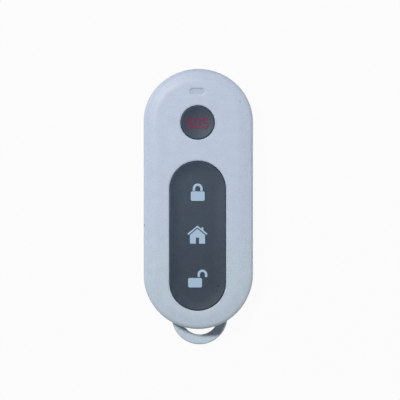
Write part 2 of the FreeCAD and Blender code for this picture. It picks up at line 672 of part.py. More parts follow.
def make_function_pad():
    body = new_body("function_pad", at=("0", "function_y", "board_top"))
    grow(body, Outline(body, "Brim").slot("function_opening_length + 2 * brim_reach",
                                          "function_opening_width + 2 * brim_reach"), "brim_height")
    grow(body, Outline(body, "Crown").slot("function_key_length - 2 * island_inset",
                                           "function_key_width - 2 * island_inset"), "pad_height")
    inset = "2 * (island_inset + crown_wall)"
    cut(body, Outline(body, "Hollow").slot(f"function_key_length - {inset}", f"function_key_width - {inset}"),
        "pad_roof", up=True)
    for place, level in (("button_pitch", "end_pip"), ("0", "centre_pip"), ("-(button_pitch)", "end_pip")):
        grow(body, Outline(body, "Pip", at=("0", place, level)).circle("pip_radius"),
             f"pad_height - {level} - crown_roof / 2")
    return body


# Circuit board, switches and small parts

SWITCHES = {"sos": "sos_y", "lock": "function_y + button_pitch", "home": "function_y",
            "unlock": "function_y - button_pitch"}


def make_circuit_board():
    body = new_body("circuit_board")
    plan = Outline(body, "Plan", at=("0", "0", "board_floor")).casing("board_inset")
    grow(body, plan, "board_thickness")
    for side in ("-", ""):
        hole = Outline(body, "ScrewHole", at=(f"{side}screw_x", "screw_y", "board_floor"))
        cut(body, hole.circle("shank_radius + shank_gap"), "board_thickness", up=True)
        hole = Outline(body, "PinHole", at=(f"{side}post_x", "-(post_y)", "board_floor"))
        cut(body, hole.circle("pin_radius + pin_gap"), "board_thickness", up=True)
    return body


def make_switch(name, place):
    """A surface-mounted tactile switch: body, snap dome, plunger and folded cover."""
    base = new_body(f"{name}_switch_base", at=("0", place, "board_top"))
    grow(base, Outline(base, "Plan").rectangle("switch_length", "switch_width"), "switch_height")
    cut(base, Outline(base, "Well", at=("0", "0", "switch_height")).circle("well_radius"),
        "switch_height - well_floor")

    dome = new_body(f"{name}_dome", at=("0", place, "board_top + well_floor"))
    edge = "(well_radius - dome_gap)"
    outer = f"(({edge} ^ 2 + dome_height ^ 2) / (2 * dome_height))"
    turn(dome, Outline(dome, "Section", plane="XZ_Plane").profile([
        ("0", "dome_height - dome_sheet", f"-({outer} - dome_sheet)"),
        (f"sqrt(({outer} - dome_sheet) ^ 2 - ({outer} - dome_height) ^ 2)", "0", None),
        (edge, "0", outer),
        ("0", "dome_height", None)]))

    plunger = new_body(f"{name}_plunger", at=("0", place, "board_top + plunger_floor"))
    grow(plunger, Outline(plunger, "Flange").circle("plunger_flange_radius"),
         "plunger_flange_top - plunger_floor")
    grow(plunger, Outline(plunger, "Stem").circle("plunger_radius"),
         "plunger_top - board_top - plunger_floor")

    cover = new_body(f"{name}_switch_cover", at=("0", place, "board_top + switch_height"))
    outer_width = "switch_width + 2 * (cover_side_gap + cover_sheet)"
    sheet = Outline(cover, "Sheet").rectangle("switch_length", outer_width)
    grow(cover, sheet, "cover_sheet")
    cut(cover, Outline(cover, "StemHole").circle("plunger_radius + stem_gap"), "cover_sheet", up=True)
    for side in ("-", ""):
        fold_y = f"{side}(switch_width / 2 + cover_side_gap + cover_sheet / 2)"
        fold = Outline(cover, "Fold", at=("0", fold_y, "0"))
        grow(cover, fold.rectangle("switch_length", "cover_sheet"), "cover_fold", down=True)
    return base, dome, plunger, cover


def box(name, across, along, up, at):
    """A block centred over a place, standing up from it."""
    block = doc.addObject("Part::Box", name)
    for prop, text in (("Length", across), ("Width", along), ("Height", up)):
        bind(block, prop, text)
    for axis, text in zip("xyz", (f"({at[0]}) - ({across}) / 2", f"({at[1]}) - ({along}) / 2", at[2])):
        bind(block, f"Placement.Base.{axis}", text)
    return block


def join(label, pieces, at, kind="Part::MultiFuse"):
    """One object from several, placed on the board."""
    whole = doc.addObject(kind, label)
    whole.Label = label
    if kind == "Part::Compound":
        whole.Links = pieces
    else:
        whole.Shapes = pieces
    for axis, text in zip("xyz", at):
        bind(whole, f"Placement.Base.{axis}", text)
    return whole


def make_status_led():
    carrier = box("LampCarrier", "lamp_length", "lamp_width", "lamp_base", ("0", "0", "0"))
    lens = box("LampLens", "lamp_length * 0.6", "lamp_width", "lamp_height", ("0", "0", "0"))
    return join("status_led", [carrier, lens], ("0", "window_y", "board_top"))


def make_encoder_chip():
    """An eight-leg chip under the board."""
    floor = "-(chip_height + chip_standoff)"
    pieces = [box("ChipBody", "chip_width", "chip_length", "chip_height", ("0", "0", floor))]
    for side in ("-", ""):
        for row in (-1.5, -0.5, 0.5, 1.5):
            place = f"{row} * leg_pitch"
            root = f"{side}(chip_width / 2 + leg_reach / 4)"
            foot = f"{side}(chip_width / 2 + leg_reach * 3 / 4)"
            knee = f"{side}(chip_width / 2 + leg_reach / 2)"
            pieces.append(box("LegRoot", "leg_reach / 2 + leg_sheet", "leg_width", "leg_sheet",
                              (root, place, "-(leg_height)")))
            pieces.append(box("LegDrop", "leg_sheet", "leg_width", "leg_height",
                              (knee, place, "-(leg_height)")))
            pieces.append(box("LegFoot", "leg_reach / 2 + leg_sheet", "leg_width", "leg_sheet",
                              (foot, place, "-(leg_sheet)")))
    return join("encoder_chip", pieces, ("chip_x", "chip_y", "board_floor"))


def make_saw_resonator():
    base = box("ResonatorBase", "resonator_size", "resonator_size", "resonator_height - lid_height",
               ("0", "0", "lid_height - resonator_height"))
    lid = box("ResonatorLid", "resonator_size - 2 * lid_inset", "resonator_size - 2 * lid_inset",
              "resonator_height", ("0", "0", "-(resonator_height)"))
    return join("saw_resonator", [base, lid], ("resonator_x", "chip_y", "board_floor"))


def make_transistor():
    floor = "-(transistor_height + chip_standoff)"
    pieces = [box("TransistorBody", "transistor_length", "transistor_width", "transistor_height",
                  ("0", "0", floor))]
    for across, along in (("-(leg_pitch) * 0.75", "-1"), ("leg_pitch * 0.75", "-1"), ("0", "1")):
        middle = f"{along} * (transistor_width / 2 + leg_reach / 4)"
        height = "transistor_height / 2 + chip_standoff"
        pieces.append(box("Leg", "leg_width", "leg_reach / 2 + leg_sheet", height,
                          (across, middle, f"-({height})")))
    return join("transistor", pieces, ("transistor_x", "transistor_y", "board_floor"))


def make_passives(label, count, height, row_y):
    """A row of identical small chips under the board."""
    pieces = []
    for number in range(count):
        place = f"{number - (count - 1) / 2} * passive_pitch"
        pieces.append(box("Chip", "passive_width", "passive_length", height, (place, "0", f"-({height})")))
    return join(label, pieces, ("0", row_y, "board_floor"), kind="Part::Compound")


def make_antenna_loop():
    """A stamped strip in a U, soldered to the underside of the board."""
    body = new_body("antenna_loop", at=("0", "aerial_y", "board_floor - aerial_sheet"))
    bend = Outline(body, "Bend").circle("aerial_radius").circle("aerial_radius - aerial_width")
    grow(body, bend, "aerial_sheet")
    cut(body, Outline(body, "LowerHalf", at=("0", "-(aerial_radius)", "0")).rectangle(
        "2 * aerial_radius", "2 * aerial_radius"), "aerial_sheet", up=True)
    for side in ("-", ""):
        leg = Outline(body, "Leg", at=(f"{side}(aerial_radius - aerial_width / 2)", "-(aerial_leg) / 2", "0"))
        grow(body, leg.rectangle("aerial_width", "aerial_leg"), "aerial_sheet")
    return body


# Power

def make_coin_cell():
    body = new_body("coin_cell", at=("0", "cell_y", "cell_floor"))
    can_top = "cell_thickness - cell_cap_height"
    turn(body, Outline(body, "Section", plane="XZ_Plane").profile([
        ("0", "0", None),
        ("cell_radius - cell_bevel", "0", None),
        ("cell_radius", "cell_bevel", None),
        ("cell_radius", f"{can_top} - cell_bevel", None),
        ("cell_radius - cell_bevel", can_top, None),
        ("cell_cap_radius", can_top, None),
        ("cell_cap_radius", "cell_thickness", None),
        ("0", "cell_thickness", None)]))
    return body


def make_battery_clip():
    """The positive strap: under the cell and up to the board at both sides."""
    body = new_body("battery_clip", at=("0", "cell_y", "0"))
    section = Outline(body, "Section", plane="XZ_Plane").profile([
        ("-(strap_half + strap_sheet)", "strap_floor", None),
        ("strap_half + strap_sheet", "strap_floor", None),
        ("strap_half + strap_sheet", "board_floor", None),
        ("strap_half", "board_floor", None),
        ("strap_half", "cell_floor", None),
        ("-(strap_half)", "cell_floor", None),
        ("-(strap_half)", "board_floor", None),
        ("-(strap_half + strap_sheet)", "board_floor", None)])
    grow_both(body, section, "strap_width")
    return body


def make_negative_contact():
    body = new_body("negative_contact", at=("0", "cell_y", "cell_top"))
    grow(body, Outline(body, "Plan").circle("contact_diameter / 2"), "contact_sheet")
    return body


def make_screw(label, side):
    """A cross-slotted screw, from the back shell into the front boss."""
    body = new_body(label, at=(f"{side}screw_x", "screw_y", "0"))
    head = Outline(body, "Head", at=("0", "0", "head_sink")).circle("head_radius")
    grow(body, head, "head_height")
    grow(body, Outline(body, "Shank", at=("0", "0", "head_sink")).circle("shank_radius"),
         "shank_tip - head_sink")
    for across, along in (("cross_width", "head_radius"), ("head_radius", "cross_width")):
        slot = Outline(body, "Cross", at=("0", "0", "head_sink")).rectangle(across, along)
        cut(body, slot, "cross_depth", up=True)
    return body


def make_all():
    """Every piece of the fob, in the order in which it is put together."""
    pieces = [make_rear_shell(), make_battery_clip(), make_coin_cell(), make_negative_contact(),
              make_circuit_board()]
    for name, place in SWITCHES.items():
        pieces.extend(make_switch(name, place))
    pieces += [make_status_led(), make_encoder_chip(), make_saw_resonator(), make_transistor(),
               make_passives("resistors", 4, "resistor_height", "resistor_y"),
               make_passives("capacitors", 4, "capacitor_height", "capacitor_y"),
               make_antenna_loop(), make_sos_pad(), make_function_pad(), make_sos_key(),
               make_function_key(), make_front_shell(),
               make_screw("screw_left", "-"), make_screw("screw_right", "")]
    return pieces


pieces = make_all()
doc.recompute()
for item in doc.Objects:
    if "Invalid" in item.State or "Error" in item.State:
        raise ValueError(f"{item.Label} ({item.Name}): {item.State}")
for piece in pieces:
    if piece.Shape.isNull() or not piece.Shape.isValid():
        raise ValueError(f"{piece.Label} has no valid shape")
for piece in pieces:
    piece.Shape.exportStep(f"parts/{piece.Label}.step")
    print(piece.Label, len(piece.Shape.Solids), round(piece.Shape.Volume, 2))
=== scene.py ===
"""The looks of a remote key fob: finishes, printed legends, soft pads and the studio.

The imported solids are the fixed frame. Every length below is in millimetres unless it says
otherwise, and becomes metres where a mesh or a node tree is made.
"""

import logging
import math
from collections.abc import Iterable
from dataclasses import dataclass, field
from enum import Enum
from typing import Any

import bmesh
import bpy
from bmesh.types import BMEdge, BMesh, BMFace, BMVert
from bpy.types import Node, NodeSocket, NodeTree
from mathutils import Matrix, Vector
from mathutils.bvhtree import BVHTree


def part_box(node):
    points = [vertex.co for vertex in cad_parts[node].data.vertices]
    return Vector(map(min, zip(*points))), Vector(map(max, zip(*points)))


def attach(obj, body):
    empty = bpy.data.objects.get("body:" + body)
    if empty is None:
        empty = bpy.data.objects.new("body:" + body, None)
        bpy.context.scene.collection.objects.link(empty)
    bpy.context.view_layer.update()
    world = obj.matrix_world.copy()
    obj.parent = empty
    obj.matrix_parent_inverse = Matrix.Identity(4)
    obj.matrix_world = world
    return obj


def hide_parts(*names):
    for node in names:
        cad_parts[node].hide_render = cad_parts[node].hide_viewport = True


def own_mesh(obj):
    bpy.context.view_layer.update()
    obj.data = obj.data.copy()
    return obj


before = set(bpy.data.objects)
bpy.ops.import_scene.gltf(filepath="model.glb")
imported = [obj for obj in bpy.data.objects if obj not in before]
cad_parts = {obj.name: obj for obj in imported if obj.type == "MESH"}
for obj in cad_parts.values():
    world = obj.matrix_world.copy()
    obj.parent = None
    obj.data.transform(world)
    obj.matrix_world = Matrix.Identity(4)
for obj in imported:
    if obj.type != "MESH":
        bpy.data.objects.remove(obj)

MM = 0.001
WELD = 0.001  # points closer than this are one
RING_STEP = 0.314  # between the rings of Blender's wave pattern, where its scale is 1
LOG = logging.getLogger("key_fob")


class Body(Enum):
    """The moving bodies that a piece can ride on."""

    CASING = "casing"
    SOS_KEY = "sos_key"
    FUNCTION_KEY = "function_key"


class Slot(Enum):
    """The record's material slots for the key plastic and the silicone."""

    KEY = "key_plastic"
    SILICONE = "silicone"


class Axis(Enum):
    """A direction of the model, which a part is divided along or a sheet was rolled along."""

    ACROSS = "X"
    ALONG = "Y"


def linear(code: str) -> tuple[float, float, float, float]:
    """Turns an sRGB hex colour into the linear colour that a shader takes.

    Args:
        code: Six hex digits after a hash.

    Returns:
        Linear red, green and blue with a full alpha.
    """
    shares = (int(code[place:place + 2], 16) / 255 for place in (1, 3, 5))
    red, green, blue = (share / 12.92 if share <= 0.04045 else ((share + 0.055) / 1.055) ** 2.4
                        for share in shares)
    return red, green, blue, 1.0


def add_node(tree: NodeTree, kind: str, inputs: dict[int | str, Any] | None = None,
             **settings: Any) -> Node:
    """Adds a node with its settings and links.

    Args:
        tree: The tree that the node goes into.
        kind: The node's type name.
        inputs: Values or other nodes' outputs, by the name or number of the socket they go into.
        **settings: The node's own properties.

    Returns:
        The new node.
    """
    node = tree.nodes.new(kind)
    for name, setting in settings.items():
        setattr(node, name, setting)
    for socket, given in (inputs or {}).items():
        if isinstance(given, NodeSocket):
            tree.links.new(given, node.inputs[socket])
        else:
            node.inputs[socket].default_value = given
    return node


def middle(node: str) -> Vector:
    """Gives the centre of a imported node's box, in millimetres."""
    low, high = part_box(node)
    return (low + high) / 2 / MM


def extent(node: str) -> Vector:
    """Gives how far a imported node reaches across, along and up, in millimetres."""
    low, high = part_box(node)
    return (high - low) / MM


# Finishes


@dataclass(frozen=True)
class Finish:
    """A material, named for what it is and how its surface was made.

    It has a grain of some size and depth, a spread of its roughness to either side, and the radius
    that the light sees on its sharp edges.
    """

    name: str
    colour: str
    roughness: float
    grain_size: float = 0.3
    grain_depth: float = 0.006
    spread: float = 0.04
    edge: float = 0.0

    def material(self) -> bpy.types.Material:
        """Gives the finish as a material, which is made only once."""
        return bpy.data.materials.get(self.name) or self.make()

    def make(self) -> bpy.types.Material:
        """Makes the material round one principled shader.

        Returns:
            The new material.
        """
        material = bpy.data.materials.new(self.name)
        material.use_nodes = True
        tree = material.node_tree
        tree.nodes.clear()
        place = add_node(tree, "ShaderNodeTexCoord").outputs["Object"]
        shader = add_node(tree, "ShaderNodeBsdfPrincipled",
                          {"Base Color": linear(self.colour), "Roughness": self.roughness})
        self.detail(tree, shader, place)
        add_node(tree, "ShaderNodeOutputMaterial", {"Surface": shader.outputs["BSDF"]})
        return material

    def detail(self, tree: NodeTree, shader: Node, place: NodeSocket) -> None:
        """Gives the shader what is this finish's own.

        Args:
            tree: The material's nodes.
            shader: The principled shader.
            place: Object coordinates, in metres.
        """
        raise NotImplementedError

    def grain(self, tree: NodeTree, shader: Node, place: NodeSocket) -> NodeSocket:
        """Roughens the surface with an even random grain.

        Args:
            tree: The material's nodes.
            shader: The principled shader.
            place: Where the pattern is read.

        Returns:
            The grain's height, from 0 to 1.
        """
        noise = add_node(tree, "ShaderNodeTexNoise",
                         {"Vector": place, "Scale": 1 / (self.grain_size * MM), "Detail": 2.0,
                          "Roughness": 0.6})
        bump = add_node(tree, "ShaderNodeBump",
                        {"Height": noise.outputs["Fac"], "Strength": 1.0,
                         "Distance": self.grain_depth * MM})
        if self.edge:
            softened = add_node(tree, "ShaderNodeBevel", {"Radius": self.edge * MM}, samples=6)
            tree.links.new(softened.outputs["Normal"], bump.inputs["Normal"])
        tree.links.new(bump.outputs["Normal"], shader.inputs["Normal"])
        return noise.outputs["Fac"]

    def sheen_spread(self, tree: NodeTree, shader: Node, amount: NodeSocket) -> None:
        """Lets the roughness vary with a pattern.

        Args:
            tree: The material's nodes.
            shader: The principled shader.
            amount: The pattern, from 0 to 1.
        """
        span = add_node(tree, "ShaderNodeMapRange",
                        {"Value": amount, "From Min": 0.3, "From Max": 0.7,
                         "To Min": self.roughness - self.spread,
                         "To Max": self.roughness + self.spread})
        tree.links.new(span.outputs["Result"], shader.inputs["Roughness"])


@dataclass(frozen=True)
class Speck:
    """A grain of dirt stuck on the surface, with a ragged edge that fades out past its radius."""

    at: tuple[float, float, float]
    radius: float
    colour: str
    ragged: float = 0.2
    fade: float = 1.6


@dataclass(frozen=True)
class RecessShade:
    """A round place on a shallow window's floor, painted darker as shade in the recess."""

    at: tuple[float, float, float]
    reach: float
    shade: float
    slack: float = 0.05


@dataclass(frozen=True)
class MouldedPlastic(Finish):
    """ABS moulded in a spark-eroded tool: dull and even, with a dry, faintly mottled grain.

    The real grain is about 0.1 mm, too fine to show, so it is drawn coarser. The colour is painted
    darker and less blue toward the loop's end as shade, a shallow window's floor can be painted
    darker as shade, and the edges are painted paler, partly as rubbing wear and partly as a
    painted highlight.
    """

    cloud_size: float = 2.5
    cloud_share: float = 0.02
    grain_share: float = 0.75
    gloss: float = 0.5
    wear_and_highlight: float = 0.0
    wear_and_highlight_reach: float = 0.3
    specks: tuple[Speck, ...] = ()
    recess_shade: RecessShade | None = None
    loop_end_shade: str | None = None
    loop_end_shade_from: float = -3.0
    loop_end_shade_to: float = -17.0

    def detail(self, tree: NodeTree, shader: Node, place: NodeSocket) -> None:
        """Adds the grain, the mottle, specks, edge wear and the painted shade and highlights.

        Args:
            tree: The material's nodes.
            shader: The principled shader.
            place: Object coordinates, in metres.
        """
        shader.inputs["Specular IOR Level"].default_value = self.gloss
        height = self.grain(tree, shader, place)
        self.sheen_spread(tree, shader, height)
        cloud = add_node(tree, "ShaderNodeTexNoise",
                         {"Vector": place, "Scale": 1 / (self.cloud_size * MM), "Detail": 3.0})
        both = add_node(tree, "ShaderNodeMix",
                        {0: self.grain_share, 2: cloud.outputs["Fac"], 3: height},
                        data_type="FLOAT")
        shade = add_node(tree, "ShaderNodeMapRange",
                         {"Value": both.outputs[0], "From Min": 0.35, "From Max": 0.65,
                          "To Min": 1 - self.cloud_share, "To Max": 1 + self.cloud_share})
        # Painted shade: darker and less blue toward the loop's end.
        plastic = self.turned(tree, place) if self.loop_end_shade else linear(self.colour)[:3]
        colour = add_node(tree, "ShaderNodeVectorMath",
                          {0: plastic, "Scale": shade.outputs["Result"]},
                          operation="SCALE").outputs["Vector"]
        # Paler edges, partly rubbing wear and partly a painted highlight.
        if self.wear_and_highlight:
            colour = self.paint_edge_wear_and_highlight(tree, colour)
        # Painted shade on the floor of the shallow window.
        if self.recess_shade:
            colour = self.thin(tree, place, colour, self.recess_shade)
        for speck in self.specks:
            colour = self.spot(tree, place, colour, speck)
        tree.links.new(colour, shader.inputs["Base Color"])

    def turned(self, tree: NodeTree, place: NodeSocket) -> NodeSocket:
        """Paints shade: lets the colour turn darker and less blue toward the loop's end.

        Args:
            tree: The material's nodes.
            place: Object coordinates, in metres.

        Returns:
            The colour of the plastic along the casing.
        """
        along = add_node(tree, "ShaderNodeSeparateXYZ", {0: place}).outputs["Y"]
        share = add_node(tree, "ShaderNodeMapRange",
                         {"Value": along, "From Min": self.loop_end_shade_from * MM,
                          "From Max": self.loop_end_shade_to * MM}, interpolation_type="SMOOTHSTEP")
        return add_node(tree, "ShaderNodeMix",
                        {0: share.outputs["Result"], 6: linear(self.colour), 7: linear(self.loop_end_shade)},
                        data_type="RGBA").outputs[2]

    def paint_edge_wear_and_highlight(self, tree: NodeTree, colour: NodeSocket) -> NodeSocket:
        """Lightens the edges, partly as rubbing wear and partly as a painted highlight.

        Args:
            tree: The material's nodes.
            colour: The colour of the plastic.

        Returns:
            The colour with its lightened edges.
        """
        rounded = add_node(tree, "ShaderNodeBevel", {"Radius": self.wear_and_highlight_reach * MM}, samples=8)
        true = add_node(tree, "ShaderNodeNewGeometry").outputs["Normal"]
        alike = add_node(tree, "ShaderNodeVectorMath", {0: rounded.outputs["Normal"], 1: true},
                         operation="DOT_PRODUCT")
        edge = add_node(tree, "ShaderNodeMapRange",
                        {"Value": alike.outputs["Value"], "From Min": 0.9, "From Max": 1.0,
                         "To Min": 1 + self.wear_and_highlight, "To Max": 1.0})
        return add_node(tree, "ShaderNodeVectorMath", {0: colour, "Scale": edge.outputs["Result"]},
                        operation="SCALE").outputs["Vector"]

    @staticmethod
    def thin(tree: NodeTree, place: NodeSocket, colour: NodeSocket, recess_shade: RecessShade) -> NodeSocket:
        """Paints shade on the floor of a shallow window, darker than the wall round it.

        Args:
            tree: The material's nodes.
            place: Object coordinates, in metres.
            colour: The colour of the wall.
            recess_shade: The window, with its floor's height.

        Returns:
            The colour with the window in it.
        """
        centre = tuple(step * MM for step in recess_shade.at)
        away = add_node(tree, "ShaderNodeVectorMath", {0: place, 1: centre}, operation="DISTANCE")
        near = add_node(tree, "ShaderNodeMath", {0: away.outputs["Value"], 1: recess_shade.reach * MM},
                        operation="LESS_THAN")
        up = add_node(tree, "ShaderNodeSeparateXYZ", {0: place}).outputs["Z"]
        low = add_node(tree, "ShaderNodeMath", {0: up, 1: (recess_shade.at[2] + recess_shade.slack) * MM},
                       operation="LESS_THAN")
        inside = add_node(tree, "ShaderNodeMath", {0: near.outputs[0], 1: low.outputs[0]},
                          operation="MULTIPLY")
        grey = (recess_shade.shade, recess_shade.shade, recess_shade.shade, 1)
        return add_node(tree, "ShaderNodeMix", {0: inside.outputs[0], 6: colour, 7: grey},
                        data_type="RGBA", blend_type="MULTIPLY").outputs[2]

    @staticmethod
    def spot(tree: NodeTree, place: NodeSocket, colour: NodeSocket, speck: Speck) -> NodeSocket:
        """Paints one speck with a ragged edge over a colour.

        Args:
            tree: The material's nodes.
            place: Object coordinates, in metres.
            colour: The colour under the speck.
            speck: The speck.

        Returns:
            The colour with the speck on it.
        """
        centre = tuple(step * MM for step in speck.at)
        away = add_node(tree, "ShaderNodeVectorMath", {0: place, 1: centre}, operation="DISTANCE")
        ragged = add_node(tree, "ShaderNodeTexNoise",
                          {"Vector": place, "Scale": 1 / (speck.ragged * MM)})
        reach = add_node(tree, "ShaderNodeMath",
                         {0: ragged.outputs["Fac"], 1: speck.radius * MM, 2: away.outputs["Value"]},
                         operation="MULTIPLY_ADD")
        edge = add_node(tree, "ShaderNodeMapRange",
                        {"Value": reach.outputs[0], "From Min": speck.radius * MM,
                         "From Max": speck.radius * speck.fade * MM, "To Min": 1.0, "To Max": 0.0})
        return add_node(tree, "ShaderNodeMix",
                        {0: edge.outputs["Result"], 6: colour, 7: linear(speck.colour)},
                        data_type="RGBA").outputs[2]


@dataclass(frozen=True)
class PrintedInk(Finish):
    """Pad-printed ink: thin, matt and opaque, with the key's colour showing where it has worn."""

    grain_size: float = 0.2
    grain_depth: float = 0.004
    worn_colour: str = "#344150"
    wear: float = 0.1
    gloss: float = 0.5

    def detail(self, tree: NodeTree, shader: Node, place: NodeSocket) -> None:
        """Wears the ink away in ragged patches.

        Args:
            tree: The material's nodes.
            shader: The principled shader.
            place: Object coordinates, in metres.
        """
        shader.inputs["Specular IOR Level"].default_value = self.gloss
        height = self.grain(tree, shader, place)
        bare = add_node(tree, "ShaderNodeMapRange",
                        {"Value": height, "From Min": 0.44, "From Max": 0.6,
                         "To Min": 0.0, "To Max": self.wear})
        colour = add_node(tree, "ShaderNodeMix",
                          {0: bare.outputs["Result"], 6: linear(self.colour),
                           7: linear(self.worn_colour)}, data_type="RGBA")
        tree.links.new(colour.outputs[2], shader.inputs["Base Color"])


@dataclass(frozen=True)
class SiliconeRubber(Finish):
    """Compression-moulded silicone: milky and soft, with light going a little way in."""

    grain_size: float = 0.15
    grain_depth: float = 0.003
    spread: float = 0.06

    def detail(self, tree: NodeTree, shader: Node, place: NodeSocket) -> None:
        """Adds the depth of the rubber and its powdery grain.

        Args:
            tree: The material's nodes.
            shader: The principled shader.
            place: Object coordinates, in metres.
        """
        shader.inputs["Subsurface Weight"].default_value = 0.4
        shader.inputs["Subsurface Radius"].default_value = (0.8 * MM, 0.8 * MM, 0.9 * MM)
        shader.inputs["Subsurface Scale"].default_value = 1.0
        self.sheen_spread(tree, shader, self.grain(tree, shader, place))


@dataclass(frozen=True)
class Laminate(Finish):
    """Glass-cloth epoxy board under green solder mask: glossy, with the weave just showing."""

    grain_depth: float = 0.004
    edge_colour: str = "#b3a066"
    track_colour: str = "#2f6a48"
    thread: float = 0.5
    track: float = 1.27
    track_gap: float = 0.25
    steep: float = 0.7

    def detail(self, tree: NodeTree, shader: Node, place: NodeSocket) -> None:
        """Adds the weave, copper tracks under the mask, and the bare sawn edge.

        Args:
            tree: The material's nodes.
            shader: The principled shader.
            place: Object coordinates, in metres.
        """
        tracks = add_node(tree, "ShaderNodeTexBrick",
                          {"Vector": place, "Scale": 1.0, "Color1": linear(self.track_colour),
                           "Color2": linear(self.colour), "Mortar": linear(self.colour),
                           "Mortar Size": self.track_gap * MM, "Mortar Smooth": 0.1,
                           "Brick Width": 4 * self.track * MM, "Row Height": self.track * MM})
        weave = add_node(tree, "ShaderNodeTexChecker",
                         {"Vector": place, "Scale": 1 / (self.thread * MM), "Color1": (1, 1, 1, 1),
                          "Color2": (0.9, 0.9, 0.9, 1)})
        mask = add_node(tree, "ShaderNodeMix",
                        {0: 1.0, 6: tracks.outputs["Color"], 7: weave.outputs["Color"]},
                        data_type="RGBA", blend_type="MULTIPLY")
        facing = add_node(tree, "ShaderNodeSeparateXYZ",
                          {0: add_node(tree, "ShaderNodeNewGeometry").outputs["Normal"]})
        level = add_node(tree, "ShaderNodeMath", {0: facing.outputs["Z"]}, operation="ABSOLUTE")
        flat = add_node(tree, "ShaderNodeMath", {0: level.outputs[0], 1: self.steep},
                        operation="GREATER_THAN")
        colour = add_node(tree, "ShaderNodeMix",
                          {0: flat.outputs[0], 6: linear(self.edge_colour), 7: mask.outputs[2]},
                          data_type="RGBA")
        tree.links.new(colour.outputs[2], shader.inputs["Base Color"])
        bump = add_node(tree, "ShaderNodeBump",
                        {"Height": weave.outputs["Fac"], "Strength": 0.5,
                         "Distance": self.grain_depth * MM})
        tree.links.new(bump.outputs["Normal"], shader.inputs["Normal"])


@dataclass(frozen=True)
class RolledMetal(Finish):
    """Thin metal sheet, rolled and stamped: bright, with fine lines along the way it was rolled."""

    grain_size: float = 0.12
    grain_depth: float = 0.002
    spread: float = 0.08
    drawn_out: float = 0.03
    run: Axis = Axis.ACROSS

    def detail(self, tree: NodeTree, shader: Node, place: NodeSocket) -> None:
        """Stretches a fine noise into the rolling lines.

        Args:
            tree: The material's nodes.
            shader: The principled shader.
            place: Object coordinates, in metres.
        """
        shader.inputs["Metallic"].default_value = 1.0
        stretch = [1.0, 1.0, 1.0]
        stretch[0 if self.run is Axis.ACROSS else 1] = self.drawn_out
        along = add_node(tree, "ShaderNodeMapping", {"Vector": place, "Scale": stretch})
        self.sheen_spread(tree, shader, self.grain(tree, shader, along.outputs["Vector"]))


@dataclass(frozen=True)
class TurnedMetal(Finish):
    """Plated steel with fine rings round an axis, as a heading or drawing tool leaves them."""

    grain_depth: float = 0.003
    spread: float = 0.05
    centre: tuple[float, float] = (0.0, 0.0)
    ring: float = 0.15

    def detail(self, tree: NodeTree, shader: Node, place: NodeSocket) -> None:
        """Puts rings round the piece's own axis.

        Args:
            tree: The material's nodes.
            shader: The principled shader.
            place: Object coordinates, in metres.
        """
        shader.inputs["Metallic"].default_value = 1.0
        away = tuple(-step * MM for step in self.centre)
        centred = add_node(tree, "ShaderNodeMapping", {"Vector": place, "Location": (*away, 0.0)})
        rings = add_node(tree, "ShaderNodeTexWave",
                         {"Vector": centred.outputs["Vector"],
                          "Scale": RING_STEP / (self.ring * MM), "Distortion": 0.4, "Detail": 2.0},
                         wave_type="RINGS", rings_direction="Z")
        bump = add_node(tree, "ShaderNodeBump",
                        {"Height": rings.outputs["Fac"], "Strength": 1.0,
                         "Distance": self.grain_depth * MM})
        tree.links.new(bump.outputs["Normal"], shader.inputs["Normal"])
        self.sheen_spread(tree, shader, rings.outputs["Fac"])


@dataclass(frozen=True)
class CappedPart(Finish):
    """A small part with a body of one stuff and ends or legs of another, divided along an axis."""

    grain_size: float = 0.12
    grain_depth: float = 0.002
    centre: float = 0.0
    half: float = 1.0
    axis: Axis = Axis.ALONG
    end_colour: str = "#c9c6bf"
    metal_ends: bool = True
    end_roughness: float = 0.3

    def detail(self, tree: NodeTree, shader: Node, place: NodeSocket) -> None:
        """Gives the ends their own colour, gloss and metal.

        Args:
            tree: The material's nodes.
            shader: The principled shader.
            place: Object coordinates, in metres.
        """
        parts = add_node(tree, "ShaderNodeSeparateXYZ", {0: place})
        off = add_node(tree, "ShaderNodeMath",
                       {0: parts.outputs[self.axis.value], 1: self.centre * MM},
                       operation="SUBTRACT")
        away = add_node(tree, "ShaderNodeMath", {0: off.outputs[0]}, operation="ABSOLUTE")
        end = add_node(tree, "ShaderNodeMath", {0: away.outputs[0], 1: self.half * MM},
                       operation="GREATER_THAN").outputs[0]
        colour = add_node(tree, "ShaderNodeMix",
                          {0: end, 6: linear(self.colour), 7: linear(self.end_colour)},
                          data_type="RGBA")
        gloss = add_node(tree, "ShaderNodeMix", {0: end, 2: self.roughness, 3: self.end_roughness},
                         data_type="FLOAT")
        tree.links.new(colour.outputs[2], shader.inputs["Base Color"])
        tree.links.new(gloss.outputs[0], shader.inputs["Roughness"])
        if self.metal_ends:
            tree.links.new(end, shader.inputs["Metallic"])
        self.grain(tree, shader, place)


@dataclass(frozen=True)
class StudioFloor(Finish):
    """Painted board: plain white to the camera, but a mid grey in the light that it gives back."""

    grain_size: float = 1.5
    grain_depth: float = 0.01
    share: float = 0.955

    def detail(self, tree: NodeTree, shader: Node, place: NodeSocket) -> None:
        """Adds a faint unevenness of the paint.

        Args:
            tree: The material's nodes.
            shader: The principled shader.
            place: Object coordinates, in metres.
        """
        self.grain(tree, shader, place)

    def make(self) -> bpy.types.Material:
        """Mixes the painted surface with plain white for rays that see it directly.

        Returns:
            The new material.
        """
        material = super().make()
        tree = material.node_tree
        output = next(node for node in tree.nodes if node.type == "OUTPUT_MATERIAL")
        painted = output.inputs["Surface"].links[0].from_socket
        white = add_node(tree, "ShaderNodeEmission", {"Color": (1, 1, 1, 1), "Strength": 1.0})
        mixed = add_node(tree, "ShaderNodeMixShader",
                         {0: seen_directly(tree, self.share), 1: painted, 2: white.outputs[0]})
        tree.links.new(mixed.outputs[0], output.inputs["Surface"])
        return material


